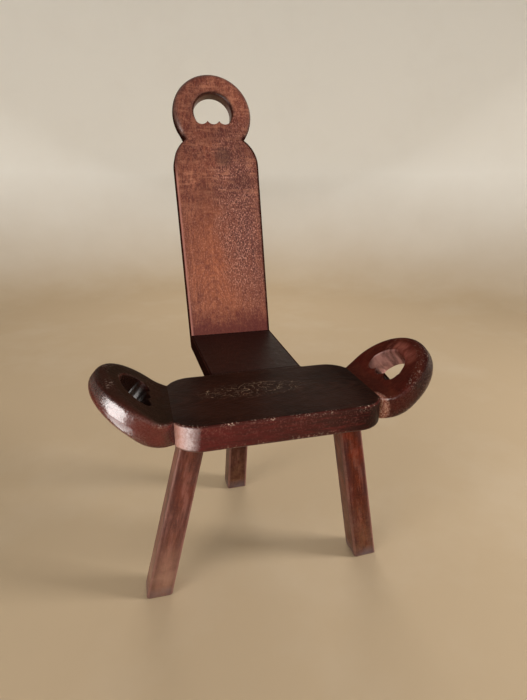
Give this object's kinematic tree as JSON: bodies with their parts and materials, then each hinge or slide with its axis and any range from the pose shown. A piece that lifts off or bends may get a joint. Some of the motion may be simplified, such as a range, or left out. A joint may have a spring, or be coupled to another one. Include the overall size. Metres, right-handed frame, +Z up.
{
  "type": "three-legged stool",
  "caption": "Low three-legged birthing-chair stool: thick seat with upswept ring handles, and a leaning plank back that ends in a ring with a scalloped finger hole.",
  "frame": {"origin": "on the floor, under the middle of the overall box", "axes": "+Z up, -Y the way the sitter faces, so the plank back leans towards +Y, and +X to the right of someone who looks at the front of the stool from -Y"},
  "size_m": [0.4994, 0.5698, 0.8461],
  "materials": {
    "seat_wood": "near-black red-brown stain, worn satin polish with fine pale scratches",
    "tail_wood": "near-black red-brown stain, satin polish",
    "handle_wood": "dark red-brown stain, glossy from handling",
    "back_wood": "red-brown stain worn lighter, mottled satin polish",
    "leg_wood": "red-brown stain, dull polish, worn pale at the edges and feet",
    "dowel_wood": "bare turned hardwood",
    "screw_steel": "plain steel"
  },
  "bodies": {
    "root": {"seat_board": "seat_wood", "tail_board": "tail_wood", "left_handle": "handle_wood", "right_handle": "handle_wood", "backrest": "back_wood", "front_left_leg": "leg_wood", "front_right_leg": "leg_wood", "rear_leg": "leg_wood", "left_handle_dowels": "dowel_wood", "right_handle_dowels": "dowel_wood", "tail_dowels": "dowel_wood", "backrest_screws": "screw_steel", "backrest_plugs": "back_wood"}
  },
  "joints": []
}
